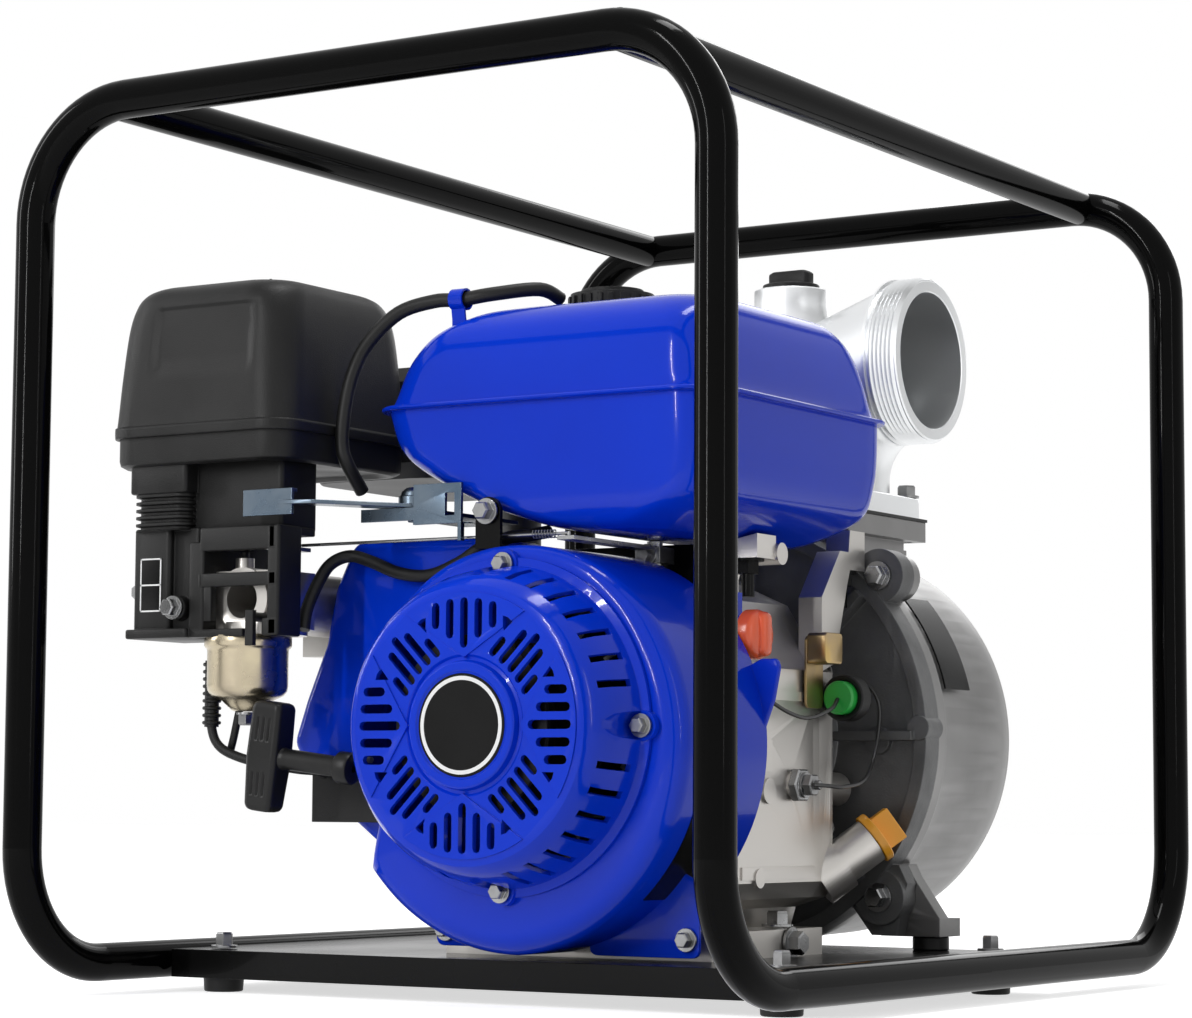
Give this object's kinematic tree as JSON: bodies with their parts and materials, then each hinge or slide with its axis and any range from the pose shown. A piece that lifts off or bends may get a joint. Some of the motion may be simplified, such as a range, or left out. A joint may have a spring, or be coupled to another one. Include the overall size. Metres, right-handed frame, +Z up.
{
  "type": "engine-driven trash pump",
  "caption": "Petrol engine with recoil starter, fuel tank and air cleaner driving a large-port centrifugal trash pump, carried in a bent tube cage on a steel base plate.",
  "frame": {"origin": "centre of the cage in plan, on the floor under the rubber feet", "axes": "+Y from the recoil starter towards the pump inlet, +X from the cylinder head towards the oil filler, +Z up"},
  "size_m": [0.516, 0.66, 0.564],
  "materials": {
    "black_paint": "gloss black paint on steel tube",
    "blue_paint": "gloss royal blue paint on pressed steel",
    "rubber": "black rubber",
    "zinc_steel": "zinc plated steel",
    "cast_aluminium": "as-cast aluminium, slightly rough",
    "dark_casting": "dark grey die casting",
    "steel": "machined steel",
    "bright_aluminium": "bright blasted aluminium with turned faces",
    "cast_iron": "cast iron",
    "black_plastic": "textured black plastic",
    "filter_foam": "pleated paper and foam",
    "rope": "braided starter rope",
    "bowl_zinc": "yellowish zinc plate",
    "muffler_steel": "heat-proof black paint on steel",
    "red_plastic": "red plastic",
    "orange_plastic": "orange plastic",
    "brass_zinc": "gold passivated zinc",
    "wire": "black insulation"
  },
  "bodies": {
    "frame": {"front_hoop": "black_paint", "rear_hoop": "black_paint", "top_rails": "black_paint", "base_plate": "black_paint", "rubber_mounts": "rubber", "foot_bolts": "zinc_steel", "crankcase": "cast_aluminium", "side_cover": "cast_aluminium", "main_bearings": "steel", "connecting_rod": "steel", "piston": "cast_aluminium", "cylinder_head": "cast_aluminium", "valve_cover": "dark_casting", "spark_plug": "steel", "fan_shroud": "blue_paint", "lower_shield": "black_plastic", "recoil_cover": "blue_paint", "shroud_bolts": "zinc_steel", "fuel_tank": "blue_paint", "tank_brackets": "zinc_steel", "fuel_hose": "rubber", "breather_hose": "rubber", "air_cleaner_base": "black_plastic", "air_filter": "filter_foam", "carburettor": "cast_aluminium", "float_bowl": "bowl_zinc", "control_plate": "zinc_steel", "muffler": "muffler_steel", "switch_box": "blue_paint", "oil_alert_unit": "brass_zinc", "switch_wires": "wire", "engine_bolts": "zinc_steel", "pump_adapter": "dark_casting", "pump_casing": "bright_aluminium", "shaft_seal": "steel", "pump_volute": "cast_iron", "inlet_flange": "bright_aluminium", "discharge_gasket": "rubber", "discharge_elbow": "bright_aluminium"},
    "crank": {"crankshaft": "steel", "flywheel": "dark_casting", "starter_cup": "black_plastic", "impeller": "cast_iron"},
    "cam": {"camshaft": "steel"},
    "handle": {"recoil_handle": "black_plastic", "starter_rope": "rope"},
    "reel": {"recoil_reel": "black_plastic"},
    "throttle": {"throttle_lever": "zinc_steel"},
    "choke": {"choke_lever": "black_plastic"},
    "fuel_tap": {"fuel_lever": "black_plastic"},
    "carb_throttle": {"throttle_arm": "zinc_steel"},
    "governor": {"governor_arm": "zinc_steel"},
    "governor_link": {"governor_rod": "zinc_steel"},
    "switch": {"switch_knob": "red_plastic"},
    "fuel_cap": {"tank_cap": "black_plastic"},
    "filter_cover": {"air_cleaner_cover": "black_plastic"},
    "cover_nut": {"wing_nut": "black_plastic"},
    "oil_filler_cap": {"oil_cap": "orange_plastic"},
    "primer_cap": {"priming_plug": "black_plastic"},
    "inlet_flap": {"check_flap": "rubber"}
  },
  "joints": [
    {"name": "crank_spin", "type": "hinge", "parent": "frame", "child": "crank", "pos_m": [0.035, 0, 0.167], "axis": [0, 1, 0], "continuous": true},
    {"name": "cam_spin", "type": "hinge", "parent": "frame", "child": "cam", "pos_m": [0.00838, 0, 0.2241], "axis": [0, 1, 0], "continuous": true},
    {"name": "rope_pull", "type": "slide", "parent": "frame", "child": "handle", "axis": [-0.9848, -0.1736, 0], "range_m": [0, 0.56], "stiffness_N_per_m": 40},
    {"name": "reel_turn", "type": "hinge", "parent": "frame", "child": "reel", "pos_m": [0.035, 0, 0.167], "axis": [0, 1, 0], "range_deg": [0, 720]},
    {"name": "throttle_swing", "type": "hinge", "parent": "frame", "child": "throttle", "pos_m": [-0.053, -0.178, 0.304], "axis": [0, 0, 1], "range_deg": [0, 24]},
    {"name": "choke_turn", "type": "hinge", "parent": "frame", "child": "choke", "pos_m": [-0.162, -0.209, 0.248], "axis": [0, 0, 1], "range_deg": [0, 60]},
    {"name": "fuel_tap_turn", "type": "hinge", "parent": "frame", "child": "fuel_tap", "pos_m": [-0.133, -0.22, 0.236], "axis": [0, 1, 0], "range_deg": [0, 80]},
    {"name": "governor_swing", "type": "hinge", "parent": "frame", "child": "governor", "pos_m": [0.066, -0.084, 0.279], "axis": [0, 0, 1], "range_deg": [-4, 4]},
    {"name": "link_slide", "type": "slide", "parent": "frame", "child": "governor_link", "axis": [1, 0, 0], "range_m": [-0.008, 0.008]},
    {"name": "carb_throttle_turn", "type": "hinge", "parent": "frame", "child": "carb_throttle", "pos_m": [-0.136, -0.197, 0.248], "axis": [0, 0, 1], "range_deg": [-45, 45]},
    {"name": "switch_turn", "type": "hinge", "parent": "frame", "child": "switch", "pos_m": [0.135, -0.083, 0.226], "axis": [1, 0, 0], "range_deg": [0, 45]},
    {"name": "fuel_cap_turn", "type": "hinge", "parent": "frame", "child": "fuel_cap", "pos_m": [0.028, -0.075, 0.43], "axis": [0, 0, 1], "range_deg": [0, 90]},
    {"name": "filter_cover_lift", "type": "slide", "parent": "frame", "child": "filter_cover", "axis": [0, 0, 1], "range_m": [0, 0.08]},
    {"name": "cover_nut_turn", "type": "hinge", "parent": "filter_cover", "child": "cover_nut", "pos_m": [-0.1735, -0.17, 0.45], "axis": [0, 0, 1], "continuous": true},
    {"name": "oil_cap_turn", "type": "hinge", "parent": "frame", "child": "oil_filler_cap", "pos_m": [0.147, 0.054, 0.099], "axis": [0.6351, 0.499, 0.5897], "continuous": true},
    {"name": "primer_cap_turn", "type": "hinge", "parent": "frame", "child": "primer_cap", "pos_m": [0.027, 0.165, 0.483], "axis": [0, 0, 1], "continuous": true},
    {"name": "flap_swing", "type": "hinge", "parent": "frame", "child": "inlet_flap", "pos_m": [0.035, 0.2295, 0.268], "axis": [-1, 0, 0], "range_deg": [0, 25]}
  ],
  "couplings": [
    {"joint": "cam_spin", "follows": "crank_spin", "ratio": -0.5},
    {"joint": "reel_turn", "follows": "rope_pull", "rad_per_m": 22.22},
    {"joint": "link_slide", "follows": "governor_swing", "m_per_rad": 0.1},
    {"joint": "carb_throttle_turn", "follows": "governor_swing", "ratio": -7.7}
  ]
}
